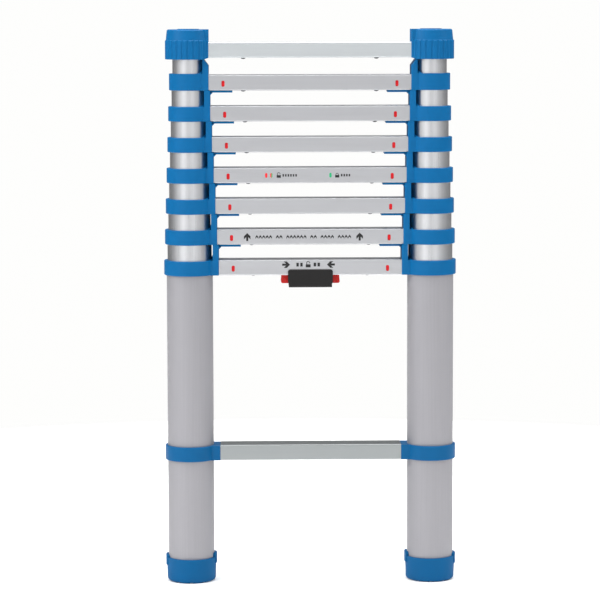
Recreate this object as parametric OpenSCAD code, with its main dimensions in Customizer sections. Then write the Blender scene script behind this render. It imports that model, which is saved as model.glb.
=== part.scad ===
// Telescopic ladder with nine rungs on two nested columns, standing closed.
// Millimetres, +Z up, front towards -Y. The origin is on the floor, midway between the columns.
// Section 1 is the top one and the thinnest; section 8 is the base, which also holds rung 9.

/* [Ladder] */
// Distance between the axes of the two columns
column_spacing = 377.5; // [330:0.5:520]
// Height of one rung above the next when extended
rung_pitch = 292; // [230:1:350]
// Height of one rung above the next when closed
stack_pitch = 48; // [40:1:60]
// Height of the top rung above the second rung when closed
top_pitch = 50.5; // [46:0.5:64]
// Height of the lowest rung's underside above the floor
lower_rung_z = 194; // [150:1:260]

/* [Tubes] */
// Outer diameter of the top section's tubes
top_tube_d = 50; // [40:1:62]
// Wall of every tube
tube_wall = 1.2; // [1:0.05:1.8]
// Running gap between a tube and the next one out
tube_gap = 0.4; // [0.4:0.05:0.8]
// Length of tube left inside the next section when extended
tube_overlap = 60; // [50:1:80]

/* [Rungs] */
// Height of a rung
rung_h = 24; // [19:0.5:30]
// Depth of a rung from front to back
rung_d = 42; // [35:0.5:51]
// Wall of a rung
rung_wall = 1.8; // [1.5:0.1:2.4]
// Radius of a rung's long edges
rung_corner = 1.6; // [1:0.1:3]
// Spacing of the grip grooves on a rung's top
groove_pitch = 4; // [3:0.1:5]
// Width of a grip groove
groove_w = 1.4; // [0.8:0.1:2]
// Depth of a grip groove
groove_depth = 0.5; // [0.3:0.1:0.8]

/* [Collars] */
// Wall of a collar around its tube
collar_wall = 3.8; // [3:0.1:6]
// Height of a collar over its rung's height, below zero if it is lower
collar_extra_h = -1; // [-2:0.1:2]
// Height of the second section's collar over its rung's height
top_collar_extra_h = 2; // [0:0.1:5]
// Thickness of a collar's lip over the tube's end
lip_t = 3; // [2:0.1:4]
// Margin of a collar's pad past the rung, front and back
pad_margin = 2; // [1:0.1:4]
// Thickness of the second section's pad between tube and rung
pad_wall = 4.9; // [4:0.05:7]
// Growth of that thickness from one section to the next
pad_wall_step = 0.8; // [0.3:0.05:1]
// Thickness of a collar's upstand, between the tube above and the ends of the rungs
upstand_t = 9.6; // [8:0.1:12]
// Radius of the fillet at the foot of a collar's upstand
upstand_fillet = 9; // [4:0.5:12]
// Edge chamfer on collars and feet
edge_chamfer = 0.8; // [0.3:0.1:1.2]
// Length of a collar's spigot inside the rung
spigot_l = 10; // [8:0.5:12]

/* [Locks] */
// Diameter of a lock pin
pin_d = 8; // [6:0.5:10]
// Travel of a lock slide from drawn back to level with the tube's bore
lock_travel = 6; // [4:0.5:7]
// Length of the tab under a rung
tab_l = 34; // [28:1:40]
// Width of that tab
tab_w = 36; // [28:1:38]
// Thickness of that tab
tab_t = 3; // [2:0.1:4]
// Distance of a window's centre from the rung's end
window_from_end = 22.3; // [20:0.1:25]
// Height of a window above the rung's underside
window_up = 10.5; // [9:0.1:13]
// Width of a window
window_w = 5; // [4:0.1:6]
// Height of a window
window_h = 9.5; // [8:0.1:10]

/* [Release] */
// Travel of a release button towards the middle
release_travel = 8; // [5:0.5:10]
// Width of the guard over the release buttons
guard_w = 70; // [60:1:90]
// Height of the guard's front over the rung's underside
guard_up = 9; // [6:0.1:11]
// Depth of the guard below the rung's underside
guard_down = 19.2; // [17:0.1:26]
// Wall of the guard
guard_wall = 3; // [2:0.1:4]
// Length of button that stands out past the guard
button_out = 11; // [9:0.5:14]
// Height of a release button
button_h = 13; // [10:0.5:14]
// Depth of a release button from front to back
button_d = 28; // [20:1:32]

/* [Ends] */
// Height of an end cap
cap_h = 47; // [40:1:60]
// Height of the fluted skirt of an end cap
cap_skirt_h = 30; // [22:1:36]
// Wall of an end cap around its tube, at the skirt
cap_wall = 11.3; // [9:0.1:15]
// Inset of the cap's crown from its skirt
cap_inset = 1.4; // [1.2:0.1:3]
// Further inset of the crown at its top
cap_draft = 1.5; // [0:0.1:2.5]
// Drop of the cap below the top rung
cap_drop = 2.5; // [1:0.1:5]
// Number of flutes around the skirt
flutes = 26; // [16:1:36]
// Height of a foot
foot_h = 38; // [30:1:50]
// Wall of a foot around its tube
foot_wall = 3.1; // [2:0.1:4]
// How much smaller a foot's radius is at the sole
foot_draft = 1.2; // [0:0.1:2]
// Wall of the two ears that stand up at a foot's sides
foot_ear_wall = 4.3; // [3:0.1:6]
// Width of an ear
foot_ear_w = 26; // [16:1:34]
// Height of an ear
foot_ear_h = 17; // [12:1:24]
// Rise of the outer ear over the foot
foot_outer_ear_up = 4; // [0:0.5:8]
// Rise of the inner ear over the foot
foot_inner_ear_up = 6.5; // [0:0.5:8]
// Thickness of a foot under its tube
foot_sole_t = 9; // [6:0.5:14]

/* [Fits] */
// Gap between parts that slide past each other
slide_gap = 0.3; // [0.2:0.05:0.4]
// Gap between a collar or cap and the tube it is fixed to
seat_gap = 0.05; // [0.02:0.01:0.1]
// Gap between a lock pin and its bore
pin_gap = 0.4; // [0.2:0.05:0.6]

/* [Hidden] */
BASE = 8;
LOWEST = 9;
SIDES = ["left", "right"];

$fn = 72;
eps = 0.01;
through = 400;                   // length of a cutter that has to pass right through
blue = "#0177b7";
cap_dome_h = 0.8;
cap_roof_t = 4;
cap_chamfer = 1.6;
flute_r = 2.8;
flute_depth = 1.1;
foot_round = 5.5;
foot_ear_r = 4;
tread_inset = 14.5;              // distance of the treads' inner ends from the sole's edge
tread_w = 5;
tread_h = 1.5;
treads = 10;
bush_flange_h = 5;
bush_spigot_h = 12;
bush_wall = 2;
bush_gap = 0.1;
groove_count = 8;
flag_t = 0.8;
carrier_l = 24;
stem_l = 12;
stem_w = 10;
stem_from_carrier = 2;
pad_w = rung_d + 2 * pad_margin;
window_r = window_w / 2 - 0.3;
gusset = 3.5;
pad_r = 2;
relief_w = 7;
upstand_relief_h = 9.5;
cap_relief_h = 2.4;
rod_t = 6;
rod_h = 10;
guard_r = 4;
guard_edge_r = 2.5;
guard_rim_h = 5;
guard_rim_inset = 1.3;
button_r = 3;
button_flare = 0.9;
button_inner_x = 20;             // distance of a button's inner end from the middle
button_stem_x = 22;              // distance of a button's stem from the middle
clamp_h = rung_h + collar_extra_h;

// Outer radius of the tubes of section k; rung 9 sits on the base tubes.
function tube_r(k) = top_tube_d / 2 + (min(k, BASE) - 1) * (tube_wall + tube_gap);
function bore_r(k) = tube_r(k) - tube_wall;
function collar_r(k) = tube_r(k) + collar_wall;
function cap_r() = tube_r(1) + cap_wall;

// Distance from a column's axis to the end of rung k
function pad_face(k) =
    let (i = max(k, 2)) tube_r(i) + pad_wall + (i - 2) * pad_wall_step;

// Height of rung k's underside when closed
function rung_z(k) =
    k == LOWEST ? lower_rung_z :
    k == 1 ? rung_z(2) + top_pitch :
    lower_rung_z + rung_pitch + (BASE - k) * stack_pitch;

function collar_h(k) = rung_h + (k == 2 ? top_collar_extra_h : collar_extra_h);
function collar_top(k) = rung_z(k) + collar_h(k);
function cap_z() = rung_z(1) - cap_drop;
function tube_top(k) = k == 1 ? cap_z() + cap_h - cap_roof_t : collar_top(k) - lip_t;
function tube_bottom(k) =
    k == BASE ? foot_sole_t : rung_z(k) - rung_pitch - tube_overlap;

// Distance from a column's axis to the side of upstand k that faces it
function upstand_x(k) = pad_face(k) - upstand_t;
function upstand_top(k) = (k == 2 ? cap_z() : rung_z(k - 1)) - slide_gap;

// Near end of the carrier inside rung k, with the slide pushed fully out
function carrier_out(k) = pad_face(k) + spigot_l + 1;
function tab_root(k) = pad_face(k + 1) + slide_gap;

// Places children, drawn with the column's axis at x = 0 and the rungs towards +X, on one column.
module on_side(side) {
    if (side == "left")
        translate([-column_spacing / 2, 0, 0]) children();
    else
        mirror([1, 0, 0]) translate([-column_spacing / 2, 0, 0]) children();
}

module on_both_sides() {
    for (side = SIDES) on_side(side) children();
}

// Lays out a profile, drawn as depth and height, along X.
module along_x(x0, x1) {
    translate([x0, 0, 0]) rotate([90, 0, 90]) linear_extrude(x1 - x0) children();
}

// Lays out a profile, drawn as width and height, along Y, centred on the rungs.
module along_y(depth) {
    translate([0, depth / 2, 0]) rotate([90, 0, 0]) linear_extrude(depth) children();
}

// A block between two corners
module block(low, high) {
    translate(low) cube(high - low);
}

// An upright block between a column and the end of its rung, with rounded edges at the rung
module pad(x0, face, z0, z1) {
    translate([0, 0, z0]) linear_extrude(z1 - z0) {
        translate([x0, -pad_w / 2]) square([face - pad_r - x0, pad_w]);
        translate([x0, -pad_w / 2 + pad_r]) square([face - x0, pad_w - 2 * pad_r]);
        for (y = [-1, 1]) translate([face - pad_r, y * (pad_w / 2 - pad_r)]) circle(pad_r);
    }
}

// Cutter for the sloping corner between a pad's face and its top (h > 0) or underside (h < 0)
module corner_relief(face, z, h) {
    slope = sign(h);
    along_y(2 * pad_w) polygon([
        [face - relief_w, z + slope], [face - relief_w, z], [face, z - h], [face + 1, z - h],
        [face + 1, z + slope]
    ]);
}

module rounded_rect(w, h, r) {
    square([w - 2 * r, h], center = true);
    square([w, h - 2 * r], center = true);
    for (x = [-1, 1], y = [-1, 1])
        translate([x * (w / 2 - r), y * (h / 2 - r)]) circle(r);
}

// A round ring with chamfered outer edges
module ring(r, z0, h, chamfer) {
    translate([0, 0, z0]) rotate_extrude() polygon([
        [0, 0], [r - chamfer, 0], [r, chamfer], [r, h - chamfer], [r - chamfer, h], [0, h]
    ]);
}

// A round bar along X
module pin(r, x0, x1, z) {
    translate([x0, 0, z]) rotate([0, 90, 0]) cylinder(r = r, h = x1 - x0);
}

module tube_pair(k) {
    mid = rung_z(k) + rung_h / 2;
    color("gainsboro") on_both_sides() difference() {
        translate([0, 0, tube_bottom(k)]) cylinder(r = tube_r(k), h = tube_top(k) - tube_bottom(k));
        translate([0, 0, tube_bottom(k) - 1]) cylinder(r = bore_r(k), h = through * 4);
        if (k > 1) pin(pin_d / 2 + pin_gap, bore_r(k) - 2, tube_r(k) + 1, mid);
        if (k < BASE) pin(pin_d / 2 + pin_gap, bore_r(k) - 2, tube_r(k) + 1, mid - rung_pitch);
    }
}

// Plugs in the lower ends of the tubes, which keep each tube central in the next one
module guide_bushes(k) {
    plug_r = bore_r(k) - seat_gap;
    z = tube_bottom(k);
    color("dimgray") on_both_sides() difference() {
        union() {
            translate([0, 0, z - bush_flange_h]) cylinder(r = tube_r(k) + bush_gap, h = bush_flange_h);
            translate([0, 0, z - eps]) cylinder(r = plug_r, h = bush_spigot_h);
        }
        translate([0, 0, z - bush_flange_h - 1])
            cylinder(r = plug_r - bush_wall, h = bush_flange_h + bush_spigot_h + 2);
    }
}

module rung_profile() {
    difference() {
        rounded_rect(rung_d, rung_h, rung_corner);
        square([rung_d - 2 * rung_wall, rung_h - 2 * rung_wall], center = true);
        for (i = [1:groove_count])
            translate([(i - (groove_count + 1) / 2) * groove_pitch, rung_h / 2])
                square([groove_w, 2 * groove_depth], center = true);
    }
}

// Slot in a rung's front wall that shows the flag of the lock slide
module window_cutter(k) {
    translate([pad_face(k) + window_from_end, 0, rung_z(k) + window_up]) rotate([90, 0, 0])
        linear_extrude(rung_d) rounded_rect(window_w, window_h, window_r);
}

// Slot in a rung's underside that a slide's stem runs in
module stem_slot(x0, x1, z) {
    block([x0 - slide_gap, -stem_w / 2 - slide_gap, z - 1],
          [x1 + slide_gap, stem_w / 2 + slide_gap, z + rung_wall + 1]);
}

module rung(k) {
    half = column_spacing / 2 - pad_face(k);
    stem_x = carrier_out(k) + stem_from_carrier;
    button_x = column_spacing / 2 - button_stem_x;
    color("silver") difference() {
        along_x(-half, half) translate([0, rung_z(k) + rung_h / 2]) rung_profile();
        if (k > 1 && k < LOWEST) on_both_sides() window_cutter(k);
        if (k > 1 && k < BASE)
            on_both_sides() stem_slot(stem_x, stem_x + stem_l + lock_travel, rung_z(k));
        if (k == BASE)
            on_both_sides() stem_slot(button_x - stem_l, button_x + release_travel, rung_z(k));
    }
}

// Plug that carries a rung's end, from the pad's face inwards
module spigot(k, x) {
    side = rung_d / 2 - rung_wall - seat_gap;
    block([x - 1, -side, rung_z(k) + rung_wall + seat_gap],
          [x + spigot_l, side, rung_z(k) + rung_h - rung_wall - seat_gap]);
}

// Concave blend between a collar's ring and its upstand
module upstand_blend(k) {
    x = upstand_x(k);
    z = collar_top(k);
    intersection() {
        translate([0, 0, z - lip_t / 2])
            cylinder(r = collar_r(k) - edge_chamfer, h = upstand_fillet + lip_t);
        difference() {
            block([x - upstand_fillet, -pad_w, z - lip_t / 2], [x + 1, pad_w, z + upstand_fillet]);
            translate([x - upstand_fillet, pad_w + 1, z + upstand_fillet]) rotate([90, 0, 0])
                cylinder(r = upstand_fillet, h = 2 * pad_w + 2);
        }
    }
}

// Small gusset on the upstand's face, under the tab of the rung above
module upstand_gusset(k) {
    x = pad_face(k);
    z = upstand_top(k) - tab_t - 2 * slide_gap;
    along_y(rung_d) polygon([[x - 1, z], [x + gusset, z], [x, z - gusset], [x - 1, z - gusset]]);
}

// Collar of section k: ring on the tube, pad and spigot for the rung, and the upstand that
// reaches up to the section above and pushes its lock slides back as the ladder closes.
module collar(k) {
    z = rung_z(k);
    top = upstand_top(k);
    face = pad_face(k);
    tab_room = tab_t + 2 * slide_gap;
    color(blue) difference() {
        union() {
            ring(collar_r(k), z, collar_h(k), edge_chamfer);
            pad(0, face, z, collar_top(k));
            pad(upstand_x(k), face, z, top);
            upstand_blend(k);
            spigot(k, face);
            if (k > 2) upstand_gusset(k);
        }
        translate([0, 0, z - 1]) cylinder(r = tube_r(k) + seat_gap, h = collar_h(k) - lip_t + 1);
        translate([0, 0, z]) cylinder(r = tube_r(k - 1) + slide_gap, h = through);
        pin(pin_d / 2 + pin_gap, tube_r(k) - 2, face + through, z + rung_h / 2);
        if (k > 2)
            block([tube_r(k - 1), -tab_w / 2 - slide_gap, top - tab_room],
                  [face + gusset + 1, tab_w / 2 + slide_gap, top + 1]);
        else
            corner_relief(face, top, upstand_relief_h);
    }
}

// Everything of a lock slide but its flag's colour: pin, carrier, stem and the part below the rung
module slide_core(k, x, carrier_end) {
    z = rung_z(k);
    side = rung_d / 2 - rung_wall - slide_gap;
    low = z + rung_wall + slide_gap;
    high = z + rung_h - rung_wall - slide_gap;
    block([x, -side + flag_t, low], [carrier_end, side, high]);
    flag_mid = z + window_up;
    block([x, -side, flag_mid - window_h / 2 - 1], [carrier_end, side, flag_mid + window_h / 2 + 1]);
}

// Spring lock of section k: a pin on a carrier, with a flag behind the window and a tab below.
// It is drawn back, as the upstand below holds it while the ladder is closed.
module lock_slide(k) {
    z = rung_z(k);
    x = carrier_out(k) + lock_travel;
    stem_x = x + stem_from_carrier;
    color(blue) {
        slide_core(k, x, x + carrier_l);
        pin(pin_d / 2, bore_r(k) + lock_travel, x + 1, z + rung_h / 2);
        block([stem_x, -stem_w / 2, z - slide_gap - 1], [stem_x + stem_l, stem_w / 2, z + rung_h / 2]);
        block([tab_root(k), -tab_w / 2, z - slide_gap - tab_t],
              [tab_root(k) + tab_l, tab_w / 2, z - slide_gap]);
    }
}

// Sprung release of the base section: pin, carrier and flag at the rung's end, and a rod to the button
module release_slide() {
    z = rung_z(BASE);
    x = carrier_out(BASE);
    middle = column_spacing / 2;
    stem_x = middle - button_stem_x;
    button_end = middle - guard_w / 2 - button_out;
    top = z - slide_gap;
    color("firebrick") {
        slide_core(BASE, x, x + carrier_l);
        pin(pin_d / 2, bore_r(BASE), x + 1, z + rung_h / 2);
        block([x + carrier_l - 1, -rod_t / 2, z + rung_h / 2 - rod_h / 2],
              [stem_x, rod_t / 2, z + rung_h / 2 + rod_h / 2]);
        block([stem_x - stem_l, -stem_w / 2, top - 1], [stem_x, stem_w / 2, z + rung_h / 2]);
        along_y(button_d) {
            polygon([
                [button_end + button_flare, top], [middle - button_inner_x, top],
                [middle - button_inner_x, top - button_h], [button_end + button_r, top - button_h],
                [button_end, top - button_h + button_r]
            ]);
            translate([button_end + button_r, top - button_h + button_r]) circle(button_r);
        }
    }
}

// Guard that wraps the base rung's underside and shields the release buttons
module release_guard() {
    z = rung_z(BASE);
    outer = rung_d / 2 + guard_wall;
    tunnel = button_d / 2 + 2;
    color("#2e2a2b") intersection() {
        difference() {
            block([-guard_w / 2, -outer, z - guard_down], [guard_w / 2, outer, z + guard_up]);
            block([-guard_w, -rung_d / 2, z], [guard_w, rung_d / 2, z + rung_h]);
            block([-guard_w, -tunnel, z - guard_down + guard_wall], [guard_w, tunnel, z + 1]);
        }
        along_y(2 * outer + 2) guard_outline(z);
        along_x(-guard_w, guard_w) translate([0, z + (guard_up - guard_down) / 2])
            rounded_rect(2 * outer, guard_up + guard_down, guard_edge_r);
    }
}

// Front outline of the guard: rounded above, and a little narrower along its bottom rim
module guard_outline(z) {
    body_h = guard_up + guard_down - guard_rim_h;
    rim_w = guard_w - 2 * guard_rim_inset;
    translate([0, z + guard_up - body_h / 2]) rounded_rect(guard_w, body_h, guard_r);
    translate([-rim_w / 2, z - guard_down]) square([rim_w, guard_rim_h + guard_r]);
}

// Body of an end cap: a skirt that slopes in to a slightly tapered crown with a low dome
module cap_body() {
    r = cap_r();
    crown_r = r - cap_inset;
    top_r = crown_r - cap_draft;
    top = cap_h - cap_dome_h;
    rotate_extrude() polygon([
        [0, 0], [r - edge_chamfer, 0], [r, edge_chamfer], [r, cap_skirt_h - cap_inset],
        [crown_r, cap_skirt_h], [top_r, top - cap_chamfer], [top_r - cap_chamfer, top], [0, top]
    ]);
    translate([0, 0, top - 1]) cylinder(r = top_r / 2, h = cap_dome_h + 1);
}

module flute_cutters() {
    for (i = [1:flutes])
        rotate([0, 0, (i - 0.5) * 360 / flutes])
            translate([cap_r() + flute_r - flute_depth, 0, -1])
                cylinder(r = flute_r, h = cap_skirt_h + 2);
}

module end_cap() {
    z = cap_z();
    face = pad_face(1);
    color(blue) difference() {
        union() {
            translate([0, 0, z]) intersection() {
                difference() {
                    cap_body();
                    flute_cutters();
                }
                block([-2 * cap_r(), -2 * cap_r(), -1], [face, 2 * cap_r(), cap_h + 1]);
            }
            pad(0, face, z, z + cap_h - cap_dome_h);
            spigot(1, face);
        }
        translate([0, 0, z - 1]) cylinder(r = tube_r(1) + seat_gap, h = cap_h - cap_roof_t + 1);
        corner_relief(face, z, -cap_relief_h);
    }
}

// Clamp that holds rung 9 on the base tube
module rung_clamp() {
    z = rung_z(LOWEST);
    face = pad_face(LOWEST);
    color(blue) difference() {
        union() {
            ring(collar_r(LOWEST), z, clamp_h, edge_chamfer);
            pad(0, face, z, z + clamp_h);
            spigot(LOWEST, face);
        }
        translate([0, 0, z - 1]) cylinder(r = tube_r(LOWEST) + seat_gap, h = clamp_h + 2);
    }
}

// Ear with rounded corners between two distances from the column's axis
module foot_ear(x0, x1, top) {
    intersection() {
        ring(tube_r(BASE) + foot_ear_wall, top - foot_ear_h, foot_ear_h, edge_chamfer);
        along_x(x0, x1) translate([0, top - foot_ear_h / 2]) rounded_rect(foot_ear_w, foot_ear_h, foot_ear_r);
    }
}

module foot() {
    r = tube_r(BASE) + foot_wall;
    sole_r = r - foot_draft;
    reach = r + foot_ear_wall;
    color(blue) difference() {
        union() {
            rotate_extrude() {
                polygon([
                    [0, 0], [sole_r - foot_round, 0], [sole_r, foot_round], [r, foot_h], [0, foot_h]
                ]);
                translate([sole_r - foot_round, foot_round]) circle(foot_round);
            }
            foot_ear(0, reach, foot_h + foot_inner_ear_up);
            foot_ear(-reach, 0, foot_h + foot_outer_ear_up);
        }
        translate([0, 0, foot_sole_t]) cylinder(r = tube_r(BASE) + seat_gap, h = 2 * foot_h);
        for (i = [1:treads]) rotate([0, 0, (i - 0.5) * 360 / treads])
            block([r - tread_inset, -tread_w / 2, -1], [r + 1, tread_w / 2, tread_h]);
    }
}

for (k = [1:BASE]) tube_pair(k);
for (k = [1:BASE - 1]) guide_bushes(k);
for (k = [1:LOWEST]) rung(k);
for (k = [2:BASE], side = SIDES)
    on_side(side) collar(k);
for (k = [2:BASE - 1], side = SIDES)
    on_side(side) lock_slide(k);
for (side = SIDES) on_side(side) release_slide();
for (side = SIDES) on_side(side) end_cap();
for (side = SIDES) on_side(side) rung_clamp();
for (side = SIDES) on_side(side) foot();
release_guard();
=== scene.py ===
"""Finishes, printed marks, rivets, stage and camera for a closed telescopic ladder."""
import math

import bmesh
import bpy
from bpy.props import FloatProperty, FloatVectorProperty, IntProperty, PointerProperty
from mathutils import Matrix, Vector


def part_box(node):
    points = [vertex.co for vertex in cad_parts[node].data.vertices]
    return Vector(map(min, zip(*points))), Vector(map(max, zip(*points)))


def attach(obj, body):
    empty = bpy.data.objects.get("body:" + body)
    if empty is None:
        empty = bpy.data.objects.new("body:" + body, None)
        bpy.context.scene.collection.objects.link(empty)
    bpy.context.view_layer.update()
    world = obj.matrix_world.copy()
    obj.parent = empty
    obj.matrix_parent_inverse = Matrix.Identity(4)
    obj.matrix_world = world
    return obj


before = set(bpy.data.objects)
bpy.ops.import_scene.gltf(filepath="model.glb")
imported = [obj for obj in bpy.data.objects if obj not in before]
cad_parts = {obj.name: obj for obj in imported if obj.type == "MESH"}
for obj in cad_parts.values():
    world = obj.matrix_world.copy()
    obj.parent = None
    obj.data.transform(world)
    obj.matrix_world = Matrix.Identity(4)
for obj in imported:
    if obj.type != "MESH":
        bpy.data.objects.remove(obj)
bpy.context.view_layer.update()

bl_info = {
    "name": "Telescopic Ladder",
    "version": (1, 0, 0),
    "blender": (4, 5, 0),
    "location": "3D View > Sidebar > Ladder",
    "description": "Finishes a telescopic ladder and adds its rivets, flags and printed marks",
    "category": "Object",
}

MM = 0.001
SIDES = {"left": -1, "right": 1}
BASE_SECTION = 8
LOWEST_RUNG = 9
LOCKED_SECTIONS = range(2, 8)
DIE_LINE = 0.0015        # depth in mm of the lines that a die leaves
FLOW = (22, 22, 34)      # size in mm of the slow change in a moulding's gloss
POLYMER_IOR = 1.49
NOISE_BAND = (0.3, 0.7)  # the part of a noise's values that a finish uses


def linear(hex_colour):
    """Turns an sRGB hex colour into the linear values that the shaders take."""
    parts = [int(hex_colour[i:i + 2], 16) / 255 for i in (1, 3, 5)]
    return [c / 12.92 if c <= 0.04045 else ((c + 0.055) / 1.055) ** 2.4 for c in parts]


def colour_prop(name, hex_colour, description):
    """One colour that a user can set."""
    return FloatVectorProperty(name=name, description=description, subtype="COLOR", size=3,
                               min=0, max=1, default=linear(hex_colour))


def length_prop(name, millimetres, description):
    """One length that a user can set."""
    return FloatProperty(name=name, description=description, default=millimetres * MM,
                         min=0, unit="LENGTH", precision=4)


class LadderColours(bpy.types.PropertyGroup):
    """Colours of the ladder's finishes. The top rung's colour also paints light on it, and the lowest
    rung's and the clamps' colours also paint shade on them.
    """
    upper_tube: colour_prop("Upper tubes", "#d9dadc", "Bright anodised aluminium of the sliding tubes")
    base_tube: colour_prop("Base tubes", "#acabaf", "Matt anodised aluminium of the base tubes")
    rung: colour_prop("Rungs", "#c2c3c6", "Satin anodised aluminium of the rungs")
    # Painted light: the top rung is the same satin anodised aluminium as the other rungs, given a lighter
    # colour that paints light on it.
    painted_light_top_rung: colour_prop("Top rung", "#d2d7d9", "Satin anodised aluminium of the top rung")
    # Painted shade: the lowest rung is the same satin anodised aluminium as the other rungs, given a darker
    # colour that paints shade on it near the floor.
    painted_shade_low_rung: colour_prop("Lowest rung", "#9b9fa0", "Satin anodised aluminium of the lowest rung")
    collar: colour_prop("Collars", "#005e94", "Moulded polypropylene of collars, caps and clamps")
    # Painted shade: the clamps are the same polypropylene as the collars, given a darker colour that paints
    # shade on them near the floor.
    clamp: colour_prop("Clamps", "#005587", "Moulded polypropylene of the lowest rung's clamps")
    foot: colour_prop("Feet", "#005486", "Moulded rubber of the feet")
    guard: colour_prop("Guard", "#0b0909", "Moulded nylon of the release guard")
    button: colour_prop("Buttons", "#c01f1b", "Moulded acetal of the release buttons")
    red: colour_prop("Red", "#e5141f", "Enamel of the flags that say unlocked")
    green: colour_prop("Green", "#00a56b", "Enamel of the flags that say locked")
    ink: colour_prop("Ink", "#0d0d0e", "Screen-printing ink")


class LadderMarks(bpy.types.PropertyGroup):
    """Sizes of the printed marks."""
    stroke: length_prop("Stroke", 3.3, "Width of an arrow's shaft")
    arrow: length_prop("Arrow", 12.4, "Length of an arrow")
    arrow_head: length_prop("Arrow head", 10.2, "Width of an arrow's head")
    chevron_pitch: length_prop("Chevron pitch", 5.36, "Distance from one chevron to the next")
    film: length_prop("Film", 0.08, "Thickness of the ink")


class LadderRivets(bpy.types.PropertyGroup):
    """Sizes of the blind rivets under the rungs."""
    head: length_prop("Head", 7.4, "Diameter of a rivet's head")
    height: length_prop("Height", 2.3, "Height of a rivet's head")
    inset: length_prop("Inset", 53.6, "Distance of a rivet from its rung's end")
    segments: IntProperty(name="Segments", description="Sides of a rivet's head", default=40,
                          min=12, max=96)


class LadderStage(bpy.types.PropertyGroup):
    """Floor and light."""
    floor_radius: FloatProperty(name="Floor radius", description="Radius of the floor", default=1.7,
                                min=0.5, unit="LENGTH")
    ambient: FloatProperty(name="Ambient", description="Strength of the studio's light", default=1.0,
                           min=0, subtype="FACTOR")


def own(context, name):
    """One of this add-on's groups of properties on the scene."""
    return getattr(context.scene, name)


# ---------------------------------------------------------------- materials

def add_node(tree, kind, inputs=None, **settings):
    """Adds a node; each input is given a value or another node's output to link from."""
    node = tree.nodes.new(kind)
    for name, value in settings.items():
        setattr(node, name, value)
    for name, value in (inputs or {}).items():
        if isinstance(value, bpy.types.NodeSocket):
            tree.links.new(value, node.inputs[name])
        else:
            node.inputs[name].default_value = value
    return node


def new_material(name):
    """A material with a principled shader, and its node tree."""
    material = bpy.data.materials.new(name)
    material.use_nodes = True
    tree = material.node_tree
    tree.nodes.clear()
    shader = add_node(tree, "ShaderNodeBsdfPrincipled")
    add_node(tree, "ShaderNodeOutputMaterial", {"Surface": shader.outputs[0]})
    return material, tree, shader


def pattern(tree, size_mm, detail=3.0):
    """Noise whose features measure size_mm along X, Y and Z."""
    place = add_node(tree, "ShaderNodeTexCoord")
    scaled = add_node(tree, "ShaderNodeMapping", {0: place.outputs["Object"]})
    scaled.inputs["Scale"].default_value = [1 / (s * MM) for s in size_mm]
    return add_node(tree, "ShaderNodeTexNoise", {
        "Vector": scaled.outputs[0], "Scale": 1.0, "Detail": detail, "Roughness": 0.55})


def finish(tree, shader, colour, darkest, rough, tint, grain, depth_mm):
    """Gives a shader its colour and roughness, which follow the tint noise, and the grain's relief."""
    dark = [c * darkest for c in colour]
    shade = add_node(tree, "ShaderNodeMapRange", {
        "Value": tint.outputs[0], "From Min": NOISE_BAND[0], "From Max": NOISE_BAND[1]})
    mixed = add_node(tree, "ShaderNodeMix", {
        "Factor": shade.outputs[0], 6: (*dark, 1), 7: (*colour, 1)}, data_type="RGBA")
    gloss = add_node(tree, "ShaderNodeMapRange", {
        "Value": shade.outputs[0], "To Min": rough[0], "To Max": rough[1]})
    relief = add_node(tree, "ShaderNodeBump", {"Height": grain.outputs[0], "Distance": depth_mm * MM})
    tree.links.new(mixed.outputs[2], shader.inputs["Base Color"])
    tree.links.new(gloss.outputs[0], shader.inputs["Roughness"])
    tree.links.new(relief.outputs[0], shader.inputs["Normal"])


def drawn_aluminium(name, colour, size_mm, rough, darkest, line_mm):
    """Anodised aluminium, extruded: a metal whose fine lines run the way it left the die."""
    material, tree, shader = new_material(name)
    lines = pattern(tree, size_mm, detail=4.0)
    shader.inputs["Metallic"].default_value = 1.0
    finish(tree, shader, colour, darkest, rough, lines, lines, line_mm)
    return material


def anodised_tube(colours):
    """Bright anodised tube. Die lines are 0.3 mm apart, drawn at 0.9 mm so that they show."""
    return drawn_aluminium("anodised_tube", colours.upper_tube, (0.9, 0.9, 120), (0.27, 0.33), 0.95,
                           DIE_LINE)


def matt_anodised_tube(colours):
    """Etched and anodised tube: much duller. Its faint streaks are 0.3 mm wide, drawn at 2.5 mm."""
    return drawn_aluminium("matt_anodised_tube", colours.base_tube, (2.5, 2.5, 160), (0.7, 0.78), 0.95,
                           DIE_LINE)


def anodised_rung(name, colour):
    """Satin anodised box section. Die lines run along the rung, 0.3 mm apart, drawn at 0.9 mm."""
    return drawn_aluminium(name, colour, (110, 0.9, 0.9), (0.36, 0.44), 0.96, DIE_LINE)


def moulded(name, colour, rough, grain_mm, depth_mm, darkest, specular=0.5, coat=0.0):
    """A moulded polymer: an even body colour, spark-eroded grain and a slow change in gloss."""
    material, tree, shader = new_material(name)
    grain = pattern(tree, (grain_mm,) * 3, detail=2.0)
    flow = pattern(tree, FLOW, detail=2.0)
    finish(tree, shader, colour, darkest, rough, flow, grain, depth_mm)
    shader.inputs["IOR"].default_value = POLYMER_IOR
    shader.inputs["Specular IOR Level"].default_value = specular
    shader.inputs["Coat Weight"].default_value = coat
    return material


def blue_polypropylene(name, colour):
    """Glass-filled polypropylene, moulded: satin. Its 0.3 mm grain is drawn at 0.8 mm."""
    return moulded(name, colour, (0.38, 0.5), 0.8, 0.03, 0.94, specular=0.16)


def blue_rubber(colours):
    """Thermoplastic rubber, moulded: duller than the collars. Its grain is drawn at 1.1 mm."""
    return moulded("blue_rubber", colours.foot, (0.55, 0.68), 1.1, 0.05, 0.92, specular=0.16)


def black_nylon(colours):
    """Glass-filled nylon, moulded: near black, with a coarse leathery grain drawn at 1.4 mm."""
    return moulded("black_nylon", colours.guard, (0.42, 0.55), 1.4, 0.06, 0.8, specular=0.35)


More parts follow.
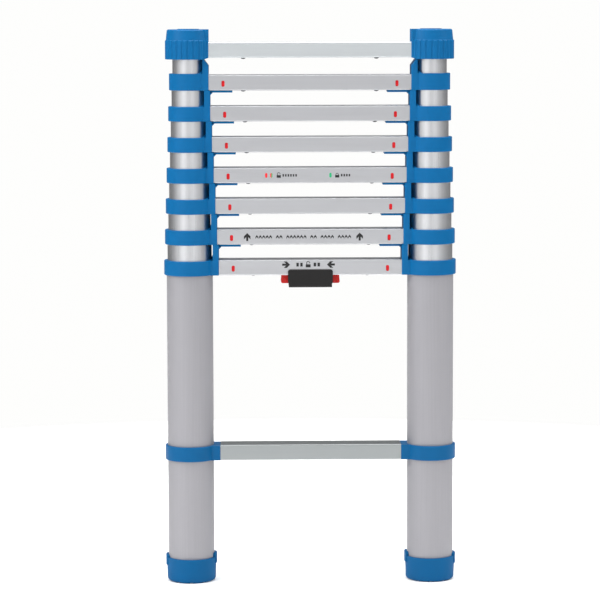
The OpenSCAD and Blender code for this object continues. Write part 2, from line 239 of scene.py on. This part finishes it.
def red_acetal(colours):
    """Acetal, moulded: slippery and glossier than the parts around it, with hardly any grain."""
    return moulded("red_acetal", colours.button, (0.22, 0.32), 1.6, 0.02, 0.85, specular=0.25)


def black_acetal(colours):
    """Acetal bushes, moulded: dark and smooth, so that the tubes slide on them."""
    return moulded("black_acetal", colours.guard, (0.3, 0.4), 1.2, 0.02, 0.85)


def enamel(name, colour):
    """Enamel on a small flag: an even colour under a clear gloss."""
    return moulded(name, colour, (0.25, 0.33), 0.9, 0.008, 0.94, specular=0.3, coat=0.1)


def screen_ink(name, colour):
    """Screen-printing ink: a thin dull film. The screen's 0.2 mm mesh is drawn at 0.7 mm."""
    return moulded(name, colour, (0.5, 0.62), 0.7, 0.01, 0.9)


def zinc_steel():
    """Zinc-plated steel rivets, darkened: small, half dull, a little uneven."""
    material, tree, shader = new_material("zinc_steel")
    cloud = pattern(tree, (1.5, 1.5, 1.5))
    shader.inputs["Metallic"].default_value = 1.0
    finish(tree, shader, linear("#6f7072"), 0.7, (0.3, 0.5), cloud, cloud, 0.01)
    return material


def pale_floor():
    """Painted studio floor: near white and dull, with a faint roller texture."""
    material, tree, shader = new_material("pale_floor")
    roller = pattern(tree, (40, 40, 40), detail=2.0)
    finish(tree, shader, linear("#fbfbfa"), 0.99, (0.88, 0.92), roller, roller, 0.02)
    shader.inputs["Specular IOR Level"].default_value = 0.1
    return material


def give(node_name, material):
    """Gives a carried-over part its finish."""
    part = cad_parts[node_name]
    part.data.materials.clear()
    part.data.materials.append(material)


# ---------------------------------------------------------------- shapes

def section_body(k):
    """The body that rung k rides on."""
    return "base" if k >= BASE_SECTION else f"section_{k}"


def new_piece(name, shape, materials, body):
    """Makes an object from a bmesh and lets it ride on a body."""
    mesh = bpy.data.meshes.new(name)
    bmesh.ops.recalc_face_normals(shape, faces=shape.faces)
    shape.to_mesh(mesh)
    shape.free()
    for material in materials:
        mesh.materials.append(material)
    piece = bpy.data.objects.new(name, mesh)
    bpy.context.scene.collection.objects.link(piece)
    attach(piece, body)


def lathe(shape, profile, centre, segments):
    """Turns a profile of (radius, height) points around a vertical axis."""
    rings = []
    for radius, height in profile:
        if radius == 0:
            rings.append([shape.verts.new(centre + Vector((0, 0, height)))])
            continue
        rings.append([shape.verts.new(centre + Vector((radius * math.cos(a), radius * math.sin(a), height)))
                      for a in (2 * math.pi * i / segments for i in range(segments))])
    for low, high in zip(rings, rings[1:]):
        for i in range(segments):
            j = (i + 1) % segments
            corners = [low[i % len(low)], low[j % len(low)], high[j % len(high)], high[i % len(high)]]
            face = shape.faces.new(list(dict.fromkeys(corners)))
            face.smooth = True


def plate(shape, outline, front_y, film, slot_index):
    """A thin plate on a front face, from an outline of (x, z) points."""
    near = [shape.verts.new((x, front_y - film, z)) for x, z in outline]
    far = [shape.verts.new((x, front_y, z)) for x, z in outline]
    faces = [shape.faces.new(near), shape.faces.new(far[::-1])]
    for i in range(len(outline)):
        j = (i + 1) % len(outline)
        faces.append(shape.faces.new([near[i], far[i], far[j], near[j]]))
    for face in faces:
        face.material_index = slot_index


def turned(points, angle):
    """Points turned around the origin by a multiple of a quarter circle."""
    c, s = round(math.cos(angle)), round(math.sin(angle))
    return [(x * c - z * s, x * s + z * c) for x, z in points]


def moved(points, x, z):
    """Points moved to a place."""
    return [(px + x, pz + z) for px, pz in points]


def bar_outline(w, h):
    """A rectangle around the origin."""
    return [(-w / 2, -h / 2), (w / 2, -h / 2), (w / 2, h / 2), (-w / 2, h / 2)]


def pill_outline(w, h, steps=8, low=-1.0, high=1.0):
    """An upright slot shape, or its part between two sides given as -1..1."""
    r, points = w / 2, []
    for start, lift in ((0, h / 2 - r), (math.pi, r - h / 2)):
        for i in range(steps + 1):
            angle = start + math.pi * i / steps
            points.append((r * math.cos(angle), lift + r * math.sin(angle)))
    return [(min(max(x, low * r), high * r), z) for x, z in points]


BARB_DEPTH = 1.45        # upright depth of an arrow's barbs, as a share of its stroke


def arrow_outlines(length, head, stroke):
    """An upward arrow: a shaft, and two barbs that meet at its tip."""
    top, reach, depth = length / 2, head / 2, BARB_DEPTH * stroke
    barbs = [[(0, top), (side * reach, top - reach), (side * reach, top - reach - depth),
              (side * stroke / 2, top - stroke / 2 - depth), (0, top - stroke / 2 - depth)]
             for side in (-1, 1)]
    shaft = bar_outline(stroke, length - stroke / 2 - depth)
    return [*barbs, moved(shaft, 0, -(stroke / 2 + depth) / 2)]


def padlock_outlines(size, is_open):
    """A padlock: a body, and a shackle that is lifted where it is open."""
    outer, inner, steps = size * 0.3, size * 0.19, 10     # the shackle's radii
    width, height = size * 0.8, size * 0.5
    sill, lift = size * 0.05, size * (0.16 if is_open else 0.0)
    spring = sill + lift + size * 0.07                    # where the shackle's arch springs
    body = moved(bar_outline(width, height), 0, sill - height / 2)
    arcs = [[(radius * math.cos(math.pi * i / steps), spring + radius * math.sin(math.pi * i / steps))
             for i in range(steps + 1)] for radius in (outer, inner)]
    shackle = [[arcs[0][i], arcs[0][i + 1], arcs[1][i + 1], arcs[1][i]] for i in range(steps)]
    legs = []
    for side in (-1, 1):
        foot = sill + (lift if side > 0 else 0)
        legs.append([(side * inner, foot), (side * outer, foot), (side * outer, spring),
                     (side * inner, spring)])
    return [body, *shackle, *legs]


def chevron_outlines(width, height, stroke):
    """A small upward chevron in two strokes."""
    return [[(0, height / 2), (side * width / 2, -height / 2 + stroke), (side * width / 2, -height / 2),
             (0, height / 2 - stroke)] for side in (-1, 1)]


# ---------------------------------------------------------------- operators

class LADDER_OT_metal(bpy.types.Operator):
    """Finish the tubes and rungs"""
    bl_idname = "ladder.metal"
    bl_label = "Finish the tubes and rungs"

    def execute(self, context):
        colours = own(context, "ladder_colours")
        bright, matt = anodised_tube(colours), matt_anodised_tube(colours)
        for k in range(1, BASE_SECTION):
            give(f"tubes_{k}", bright)
        give(f"tubes_{BASE_SECTION}", matt)
        satin = anodised_rung("anodised_rung", colours.rung)
        for k in range(2, LOWEST_RUNG):
            give(f"rung_{k}", satin)
        # The top rung gets a lighter copy of the rung finish, which paints light on it.
        give("rung_1", anodised_rung("anodised_top_rung", colours.painted_light_top_rung))
        # The lowest rung gets a darker copy of the rung finish, which paints shade on it near the floor.
        give(f"rung_{LOWEST_RUNG}", anodised_rung("anodised_rung_painted_shade", colours.painted_shade_low_rung))
        return {"FINISHED"}


class LADDER_OT_plastic(bpy.types.Operator):
    """Finish the collars, caps, clamps, feet, guard, bushes and slides"""
    bl_idname = "ladder.plastic"
    bl_label = "Finish the plastic parts"

    def execute(self, context):
        colours = own(context, "ladder_colours")
        blue, rubber = blue_polypropylene("blue_polypropylene", colours.collar), blue_rubber(colours)
        # The clamps get a darker copy of the collars' polypropylene, which paints shade on them near the
        # floor.
        clamp = blue_polypropylene("painted_shade_blue_polypropylene", colours.clamp)
        nylon, acetal, bush = black_nylon(colours), red_acetal(colours), black_acetal(colours)
        for side in SIDES:
            for k in range(2, BASE_SECTION + 1):
                give(f"collar_{k}_{side}", blue)
            for k in LOCKED_SECTIONS:
                give(f"lock_slide_{k}_{side}", blue)
            give(f"end_cap_{side}", blue)
            give(f"rung_clamp_{side}", clamp)
            give(f"foot_{side}", rubber)
            give(f"release_slide_{side}", acetal)
        give("release_guard", nylon)
        for k in range(1, BASE_SECTION):
            give(f"guide_bushes_{k}", bush)
        return {"FINISHED"}


class LADDER_OT_rivets(bpy.types.Operator):
    """Add the blind rivets under the rungs"""
    bl_idname = "ladder.rivets"
    bl_label = "Add the rivets"

    # Shares of the head's height and radius
    RIM = 0.25
    HOLE_MOUTH, HOLE_FLOOR, HOLE_RISE = 0.28, 0.26, 0.6
    DOME_ANGLES = (0.3, 0.6, 0.9, 1.2)

    def execute(self, context):
        sizes = own(context, "ladder_rivets")
        steel = zinc_steel()
        r, h = sizes.head / 2, sizes.height
        rim = self.RIM * h
        dome = [(r * math.cos(a), -rim - (h - rim) * math.sin(a)) for a in self.DOME_ANGLES]
        floor = -self.HOLE_RISE * h
        hole = [(self.HOLE_MOUTH * r, -h), (self.HOLE_FLOOR * r, floor), (0, floor)]
        profile = [(0, 0), (r, 0), (r, -rim), *dome, *hole]
        for k in range(1, BASE_SECTION + 1):
            low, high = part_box(f"rung_{k}")
            shape = bmesh.new()
            for x in (low.x + sizes.inset, high.x - sizes.inset):
                lathe(shape, profile, Vector((x, (low.y + high.y) / 2 - r, low.z)), sizes.segments)
            new_piece(f"rung_rivets_{k}", shape, [steel], section_body(k))
        return {"FINISHED"}


class LADDER_OT_flags(bpy.types.Operator):
    """Add the red and green flags behind the windows"""
    bl_idname = "ladder.flags"
    bl_label = "Add the flags"

    # Each flag's reach in mm from the rung's end, and its enamel: 0 red, 1 green
    LOCK_SPANS = ((17.4, 28.4, 0), (28.4, 40.6, 1))
    RELEASE_SPANS = ((11.6, 28.4, 0), (28.4, 34.6, 1))
    FLAG_HEIGHT = 11
    FLAG_LIFT = 10.5
    FLAG_FILM = 0.2

    def execute(self, context):
        colours = own(context, "ladder_colours")
        enamels = [enamel("red_enamel", colours.red), enamel("green_enamel", colours.green)]
        slides = [(f"lock_slide_{k}", f"lock_{k}", k) for k in LOCKED_SECTIONS]
        for node, body, k in [*slides, ("release_slide", "release", BASE_SECTION)]:
            rung_low, rung_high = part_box(f"rung_{k}")
            for side, sign in SIDES.items():
                rung_end = rung_high.x if sign > 0 else rung_low.x
                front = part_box(f"{node}_{side}")[0].y
                shape = bmesh.new()
                spans = self.RELEASE_SPANS if k == BASE_SECTION else self.LOCK_SPANS
                for start, end, index in spans:
                    outline = moved(bar_outline((end - start) * MM, self.FLAG_HEIGHT * MM),
                                    rung_end - sign * (start + end) / 2 * MM,
                                    rung_low.z + self.FLAG_LIFT * MM)
                    plate(shape, outline, front, self.FLAG_FILM * MM, index)
                new_piece(f"flag_{k}_{side}", shape, enamels, f"{body}_{side}")
        return {"FINISHED"}


class LADDER_OT_marks(bpy.types.Operator):
    """Print the arrows, padlocks and lock signs on three rungs"""
    bl_idname = "ladder.marks"
    bl_label = "Print the marks"

    # Sizes in mm, and places in mm from the ladder's middle
    LOCK_RUNG = 5
    PILL = (3.6, 7.4)
    PILLS_RED = (-68.5, -60.5)
    PILL_GREEN = 31.5
    PADLOCK = 8.2
    PADLOCKS = ((-49, True), (42, False))       # place, and whether it is open
    BAR = (2.4, 3.8)
    BAR_PITCH = 4
    BAR_ROWS = ((-42, 6), (49, 4))              # place of the first bar, and how many
    START_RUNG = 7
    START_ARROWS = (-98.5, 77)
    CHEVRON = (4.5, 6.2, 3.1)                   # width, height and stroke
    CHEVRON_START = -83.5
    CHEVRON_GROUPS = (5, 2, 6, 2, 4, 4)
    SQUEEZE_ARROWS = ((-38, -math.pi / 2), (32, math.pi / 2))
    SQUEEZE_PADLOCK = 9.6
    SQUEEZE_PLACE = -3.5
    SQUEEZE_DROP = 7.6                          # below the rung's top
    SQUEEZE_BAR = (3.8, 5.8)
    SQUEEZE_BARS = (-20, -14, 7, 13)

    def execute(self, context):
        sizes, colours = own(context, "ladder_marks"), own(context, "ladder_colours")
        inks = [screen_ink("black_ink", colours.ink), screen_ink("red_ink", colours.red),
                screen_ink("green_ink", colours.green)]
        for k, marks in ((self.LOCK_RUNG, self.lock_signs()),
                         (self.START_RUNG, self.start_signs(sizes)),
                         (BASE_SECTION, self.squeeze_signs(sizes))):
            low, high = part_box(f"rung_{k}")
            middle = (low.z + high.z) / 2
            shape = bmesh.new()
            for outline, x, index in marks:
                z = high.z - self.SQUEEZE_DROP * MM if k == BASE_SECTION else middle
                plate(shape, moved(outline, x, z), low.y, sizes.film, index)
            new_piece(f"marks_rung_{k}", shape, inks, section_body(k))
        return {"FINISHED"}

    def lock_signs(self):
        """Red and red-green signs by an open padlock, and a green sign by a closed one."""
        w, h = (size * MM for size in self.PILL)
        red, mixed = (x * MM for x in self.PILLS_RED)
        marks = [(pill_outline(w, h), red, 1), (pill_outline(w, h, high=0.0), mixed, 1),
                 (pill_outline(w, h, low=0.0), mixed, 2), (pill_outline(w, h), self.PILL_GREEN * MM, 2)]
        for x, is_open in self.PADLOCKS:
            marks += [(o, x * MM, 0) for o in padlock_outlines(self.PADLOCK * MM, is_open)]
        bar = bar_outline(*(size * MM for size in self.BAR))
        for x, count in self.BAR_ROWS:
            marks += [(bar, (x + i * self.BAR_PITCH) * MM, 0) for i in range(count)]
        return marks

    def start_signs(self, sizes):
        """Upward arrows at both ends of a row of upward chevrons."""
        marks = []
        for x in self.START_ARROWS:
            outlines = arrow_outlines(sizes.arrow, sizes.arrow_head, sizes.stroke)
            marks += [(o, x * MM, 0) for o in outlines]
        x = self.CHEVRON_START * MM
        for count in self.CHEVRON_GROUPS:
            for _ in range(count):
                marks += [(o, x, 0) for o in chevron_outlines(*(size * MM for size in self.CHEVRON))]
                x += sizes.chevron_pitch
            x += sizes.chevron_pitch
        return marks

    def squeeze_signs(self, sizes):
        """Arrows that point inwards at an open padlock, over the release buttons."""
        marks = []
        for x, angle in self.SQUEEZE_ARROWS:
            for outline in arrow_outlines(sizes.arrow, sizes.arrow_head, sizes.stroke):
                marks.append((turned(outline, angle), x * MM, 0))
        padlock = padlock_outlines(self.SQUEEZE_PADLOCK * MM, True)
        marks += [(o, self.SQUEEZE_PLACE * MM, 0) for o in padlock]
        bar = bar_outline(*(size * MM for size in self.SQUEEZE_BAR))
        return marks + [(bar, x * MM, 0) for x in self.SQUEEZE_BARS]


class LADDER_OT_stage(bpy.types.Operator):
    """Set the floor, the light and the camera"""
    bl_idname = "ladder.stage"
    bl_label = "Set the stage"

    CAMERA_PLACE = (-0.1004, -4.3835, 0.9147)
    CAMERA_YAW = -0.0229
    CAMERA_PITCH = 0.1074
    CAMERA_ROLL = -0.0022
    CAMERA_LENS = 168.39
    CAMERA_SHIFT = (-0.0170, 0.0027)
    # Brightness of the studio's walls by degrees from straight ahead, to the right
    WALL = ((-180, 0.30), (-147, 0.20), (-106, 0.28), (-62, 0.66), (-32, 1.22), (0, 0.76), (24, 0.98),
            (50, 0.62), (76, 0.40), (110, 0.30), (150, 0.24))
    WALL_BLUE = 1.01                 # how much more blue than red the walls are
    CEILING = 0.5
    CEILING_RISE = (0.3, 0.6)        # how far up the walls give way to the ceiling
    BACKDROP = (0.99, 0.99, 0.98, 1)
    # Soft boxes, as name, place, aim, size and power
    LIGHTS = (("left", (-2.3, -1.1, 2.3), (0, 0, 0.45), 1.4, 62),
              ("right", (2.4, -0.6, 2.3), (0, 0, 0.45), 1.4, 40),
              ("overhead", (0.0, 0.35, 3.2), (0, 0.35, 0.45), 3.2, 130))
    FLOOR_SIDES = 96

    def execute(self, context):
        stage = own(context, "ladder_stage")
        self.floor(stage.floor_radius)
        self.world(context, stage.ambient)
        self.lights()
        self.camera(context)
        context.scene.view_settings.view_transform = "Standard"
        return {"FINISHED"}

    def floor(self, radius):
        """A round floor under the feet."""
        shape = bmesh.new()
        bmesh.ops.create_circle(shape, cap_ends=True, segments=self.FLOOR_SIDES, radius=radius)
        mesh = bpy.data.meshes.new("floor")
        shape.to_mesh(mesh)
        shape.free()
        mesh.materials.append(pale_floor())
        floor = bpy.data.objects.new("floor", mesh)
        bpy.context.scene.collection.objects.link(floor)

    def world(self, context, strength):
        """A white background. What the ladder reflects is a studio, bright in front and dark behind."""
        world = bpy.data.worlds.new("studio")
        context.scene.world = world
        world.use_nodes = True
        tree = world.node_tree
        tree.nodes.clear()
        way = add_node(tree, "ShaderNodeTexCoord")
        axes = add_node(tree, "ShaderNodeSeparateXYZ", {0: way.outputs["Generated"]})
        ahead = add_node(tree, "ShaderNodeMath", {0: axes.outputs["Y"], 1: -1.0}, operation="MULTIPLY")
        turn = add_node(tree, "ShaderNodeMath", {0: axes.outputs["X"], 1: ahead.outputs[0]},
                        operation="ARCTAN2")
        around = add_node(tree, "ShaderNodeMapRange", {
            "Value": turn.outputs[0], "From Min": -math.pi, "From Max": math.pi})
        wall = add_node(tree, "ShaderNodeValToRGB", {0: around.outputs[0]})
        wall.color_ramp.interpolation = "EASE"
        stops = wall.color_ramp.elements
        while len(stops) > 1:
            stops.remove(stops[-1])
        for i, (degrees, level) in enumerate(self.WALL):
            stop = stops[0] if i == 0 else stops.new((degrees + 180) / 360)
            stop.position = (degrees + 180) / 360
            stop.color = (level, level, level * self.WALL_BLUE, 1)
        overhead = add_node(tree, "ShaderNodeMapRange", {
            "Value": axes.outputs["Z"], "From Min": self.CEILING_RISE[0],
            "From Max": self.CEILING_RISE[1]}, interpolation_type="SMOOTHSTEP")
        room = add_node(tree, "ShaderNodeMix", {
            "Factor": overhead.outputs[0], 6: wall.outputs[0], 7: (*(self.CEILING,) * 3, 1)},
            data_type="RGBA")
        studio = add_node(tree, "ShaderNodeBackground", {"Color": room.outputs[2], "Strength": strength})
        seen = add_node(tree, "ShaderNodeBackground", {"Color": self.BACKDROP, "Strength": 1.0})
        ray = add_node(tree, "ShaderNodeLightPath")
        mixed = add_node(tree, "ShaderNodeMixShader", {
            0: ray.outputs["Is Camera Ray"], 1: studio.outputs[0], 2: seen.outputs[0]})
        add_node(tree, "ShaderNodeOutputWorld", {"Surface": mixed.outputs[0]})

    def lights(self):
        """Soft boxes at both sides and overhead."""
        for name, place, aim, size, power in self.LIGHTS:
            data = bpy.data.lights.new(name, "AREA")
            data.size = size
            data.energy = power
            light = bpy.data.objects.new(name, data)
            light.location = place
            light.rotation_euler = (Vector(aim) - Vector(place)).to_track_quat("-Z", "Y").to_euler()
            bpy.context.scene.collection.objects.link(light)

    def camera(self, context):
        """A long lens, nearly level, in front of the ladder."""
        data = bpy.data.cameras.new("camera")
        data.lens = self.CAMERA_LENS
        data.shift_x, data.shift_y = self.CAMERA_SHIFT
        data.clip_end = 100
        camera = bpy.data.objects.new("camera", data)
        yaw = Matrix.Rotation(self.CAMERA_YAW, 4, "Z")
        pitch = Matrix.Rotation(math.pi / 2 - self.CAMERA_PITCH, 4, "X")
        roll = Matrix.Rotation(self.CAMERA_ROLL, 4, "Z")
        camera.matrix_world = Matrix.Translation(self.CAMERA_PLACE) @ yaw @ pitch @ roll
        context.scene.collection.objects.link(camera)
        context.scene.camera = camera


class LADDER_PT_panel(bpy.types.Panel):
    """Buttons and values of the ladder"""
    bl_label = "Telescopic Ladder"
    bl_idname = "LADDER_PT_panel"
    bl_space_type = "VIEW_3D"
    bl_region_type = "UI"
    bl_category = "Ladder"

    def draw(self, context):
        for operator in OPERATORS:
            self.layout.operator(operator.bl_idname)
        for name in GROUPS:
            group = own(context, name)
            column = self.layout.column(align=True)
            for prop in group.__annotations__:
                column.prop(group, prop)


OPERATORS = (LADDER_OT_metal, LADDER_OT_plastic, LADDER_OT_rivets, LADDER_OT_flags, LADDER_OT_marks,
             LADDER_OT_stage)
GROUPS = {"ladder_colours": LadderColours, "ladder_marks": LadderMarks, "ladder_rivets": LadderRivets,
          "ladder_stage": LadderStage}


def register():
    for cls in (*GROUPS.values(), *OPERATORS, LADDER_PT_panel):
        bpy.utils.register_class(cls)
    for name, cls in GROUPS.items():
        setattr(bpy.types.Scene, name, PointerProperty(type=cls))


def unregister():
    for name in GROUPS:
        delattr(bpy.types.Scene, name)
    for cls in (LADDER_PT_panel, *reversed(OPERATORS), *reversed(GROUPS.values())):
        bpy.utils.unregister_class(cls)


def main():
    register()
    for operator in OPERATORS:
        group, name = operator.bl_idname.split(".")
        getattr(getattr(bpy.ops, group), name)()


if __name__ == "__main__":
    main()
